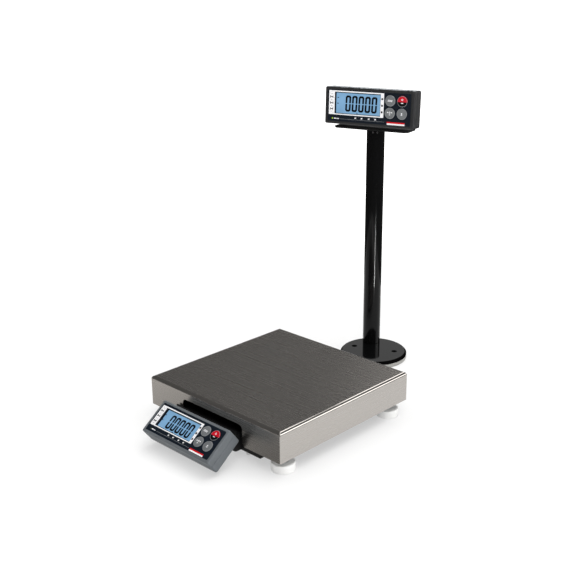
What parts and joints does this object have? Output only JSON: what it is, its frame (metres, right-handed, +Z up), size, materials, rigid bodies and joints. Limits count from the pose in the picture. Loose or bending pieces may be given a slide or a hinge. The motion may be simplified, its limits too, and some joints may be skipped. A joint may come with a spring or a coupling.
{
  "type": "platform shipping scale",
  "caption": "Low square stainless platform scale on levelling feet with a tilting operator display at the front and a second display on a black pole stand.",
  "frame": {"origin": "on the counter, at the middle of the footprint of the whole scale", "axes": "+Z up, -Y towards the operator display, +X to the operator's right"},
  "size_m": [0.318, 0.6048, 0.5172],
  "materials": {
    "stainless": "brushed stainless sheet",
    "black_paint": "satin black powder coat",
    "black_gloss": "glossy black enamel",
    "white_plastic": "moulded white nylon",
    "zinc": "zinc plated",
    "aluminium": "machined and anodised",
    "cast": "as-cast, tumbled",
    "rubber": "moulded black rubber",
    "board": "solder-masked circuit board",
    "level_green": "clear tinted liquid level",
    "grey_shell": "fine-textured grey housing",
    "dark_shell": "fine-textured dark grey housing",
    "overlay": "printed polyester panel",
    "lcd": "back-lit liquid-crystal glass",
    "grey_key": "domed grey key cap",
    "red_key": "domed red key cap",
    "light_grey": "light grey foam rubber"
  },
  "bodies": {
    "base": {"base_pan": "black_paint", "load_cell": "aluminium", "lower_spacer": "zinc", "upper_spacer": "zinc", "cell_bolt_lower_front": "zinc", "cell_bolt_upper_front": "zinc", "cell_bolt_lower_back": "zinc", "cell_bolt_upper_back": "zinc", "spider": "cast", "platter_bumper_front_left": "rubber", "platter_bumper_front_right": "rubber", "platter_bumper_back_left": "rubber", "platter_bumper_back_right": "rubber", "converter_board": "board", "base_cable_gland": "rubber", "bubble_level": "level_green", "pan_stop_left": "white_plastic", "pan_stop_right": "white_plastic", "operator_bracket": "black_paint", "bracket_screw_left": "zinc", "bracket_screw_right": "zinc", "operator_tilt_rod": "zinc", "stand_pad": "light_grey", "stand_base": "black_gloss", "pole": "black_gloss", "pole_grub_screw_1": "zinc", "pole_grub_screw_2": "zinc"},
    "platter": {"platter": "stainless"},
    "foot_front_left": {"foot_pad_front_left": "white_plastic", "foot_stud_front_left": "zinc"},
    "foot_front_right": {"foot_pad_front_right": "white_plastic", "foot_stud_front_right": "zinc"},
    "foot_back_left": {"foot_pad_back_left": "white_plastic", "foot_stud_back_left": "zinc"},
    "foot_back_right": {"foot_pad_back_right": "white_plastic", "foot_stud_back_right": "zinc"},
    "operator_display": {"operator_front_shell": "grey_shell", "operator_rear_shell": "grey_shell", "operator_overlay": "overlay", "operator_lcd": "lcd", "operator_board": "board", "operator_cable_gland": "rubber"},
    "operator_key_units": {"operator_key_units": "grey_key"},
    "operator_key_power": {"operator_key_power": "red_key"},
    "operator_key_tare": {"operator_key_tare": "grey_key"},
    "operator_key_send": {"operator_key_send": "grey_key"},
    "customer_display": {"customer_front_shell": "dark_shell", "customer_rear_shell": "dark_shell", "customer_overlay": "overlay", "customer_lcd": "lcd", "customer_board": "board", "customer_cable_gland": "rubber"},
    "customer_key_units": {"customer_key_units": "grey_key"},
    "customer_key_power": {"customer_key_power": "red_key"},
    "customer_key_tare": {"customer_key_tare": "grey_key"},
    "customer_key_send": {"customer_key_send": "grey_key"},
    "pole_swivel": {"swivel_plug": "black_gloss", "display_tray": "black_paint", "customer_tilt_rod": "zinc"}
  },
  "joints": [
    {"name": "platter_lift", "type": "slide", "parent": "base", "child": "platter", "axis": [0, 0, 1], "range_m": [0, 0.12]},
    {"name": "foot_front_left_height", "type": "slide", "parent": "base", "child": "foot_front_left", "axis": [0, 0, 1], "range_m": [-0.008, 0.003]},
    {"name": "foot_front_right_height", "type": "slide", "parent": "base", "child": "foot_front_right", "axis": [0, 0, 1], "range_m": [-0.008, 0.003]},
    {"name": "foot_back_left_height", "type": "slide", "parent": "base", "child": "foot_back_left", "axis": [0, 0, 1], "range_m": [-0.008, 0.003]},
    {"name": "foot_back_right_height", "type": "slide", "parent": "base", "child": "foot_back_right", "axis": [0, 0, 1], "range_m": [-0.008, 0.003]},
    {"name": "operator_tilt", "type": "hinge", "parent": "base", "child": "operator_display", "pos_m": [0.00647, -0.24286, 0.03055], "axis": [1, 0, 0], "range_deg": [-25, 5]},
    {"name": "pole_swivel_turn", "type": "hinge", "parent": "base", "child": "pole_swivel", "pos_m": [-0.07333, 0.26687, 0.43], "axis": [0, 0, 1], "range_deg": [-165, 165]},
    {"name": "customer_tilt", "type": "hinge", "parent": "pole_swivel", "child": "customer_display", "pos_m": [-0.07532, 0.27461, 0.50185], "axis": [0.9686, 0.2487, 0], "range_deg": [-25, 5]},
    {"name": "operator_key_units_press", "type": "slide", "parent": "operator_display", "child": "operator_key_units", "axis": [0, 0.6032, -0.7976], "range_m": [0, 0.0008], "stiffness_N_per_m": 300},
    {"name": "operator_key_power_press", "type": "slide", "parent": "operator_display", "child": "operator_key_power", "axis": [0, 0.6032, -0.7976], "range_m": [0, 0.0008], "stiffness_N_per_m": 300},
    {"name": "operator_key_tare_press", "type": "slide", "parent": "operator_display", "child": "operator_key_tare", "axis": [0, 0.6032, -0.7976], "range_m": [0, 0.0008], "stiffness_N_per_m": 300},
    {"name": "operator_key_send_press", "type": "slide", "parent": "operator_display", "child": "operator_key_send", "axis": [0, 0.6032, -0.7976], "range_m": [0, 0.0008], "stiffness_N_per_m": 300},
    {"name": "customer_key_units_press", "type": "slide", "parent": "customer_display", "child": "customer_key_units", "axis": [-0.2484, 0.9675, -0.0471], "range_m": [0, 0.0008], "stiffness_N_per_m": 300},
    {"name": "customer_key_power_press", "type": "slide", "parent": "customer_display", "child": "customer_key_power", "axis": [-0.2484, 0.9675, -0.0471], "range_m": [0, 0.0008], "stiffness_N_per_m": 300},
    {"name": "customer_key_tare_press", "type": "slide", "parent": "customer_display", "child": "customer_key_tare", "axis": [-0.2484, 0.9675, -0.0471], "range_m": [0, 0.0008], "stiffness_N_per_m": 300},
    {"name": "customer_key_send_press", "type": "slide", "parent": "customer_display", "child": "customer_key_send", "axis": [-0.2484, 0.9675, -0.0471], "range_m": [0, 0.0008], "stiffness_N_per_m": 300}
  ]
}
